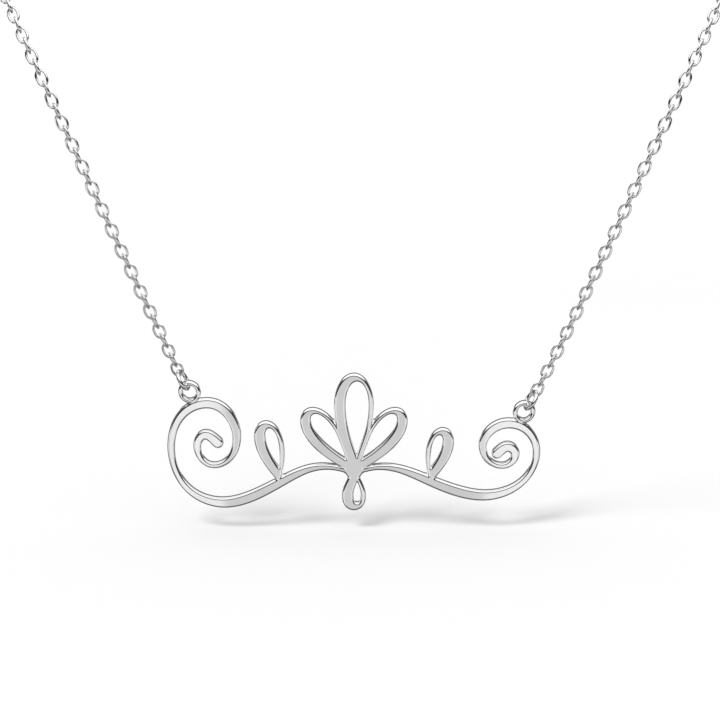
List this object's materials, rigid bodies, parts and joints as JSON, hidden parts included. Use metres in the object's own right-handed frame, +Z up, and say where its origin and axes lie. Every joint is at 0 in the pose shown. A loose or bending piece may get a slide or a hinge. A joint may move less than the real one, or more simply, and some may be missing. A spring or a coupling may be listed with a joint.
{
  "type": "nameplate necklace",
  "caption": "Pierced ornamental plate hung from a fine cable chain that closes at the nape with a spring ring.",
  "frame": {"origin": "middle of the spring ring at the nape, where the loop lies on the back of the neck", "axes": "+Z up, front of the plate faces -Y, +X to the right as seen from the front"},
  "size_m": [0.1076, 0.0927, 0.1047],
  "materials": {
    "silver": "polished"
  },
  "bodies": {
    "loop": {"chain_left": "silver", "chain_right": "silver", "spring_ring": "silver", "end_ring": "silver"},
    "pendant": {"nameplate": "silver", "jump_ring_left": "silver", "jump_ring_right": "silver"}
  },
  "joints": [
    {"name": "plate_swing", "type": "hinge", "parent": "loop", "child": "pendant", "pos_m": [-0.02289, -0.08503, -0.08463], "axis": [0.9981, 0.0041, -0.0609], "range_deg": [-40, 30]}
  ]
}
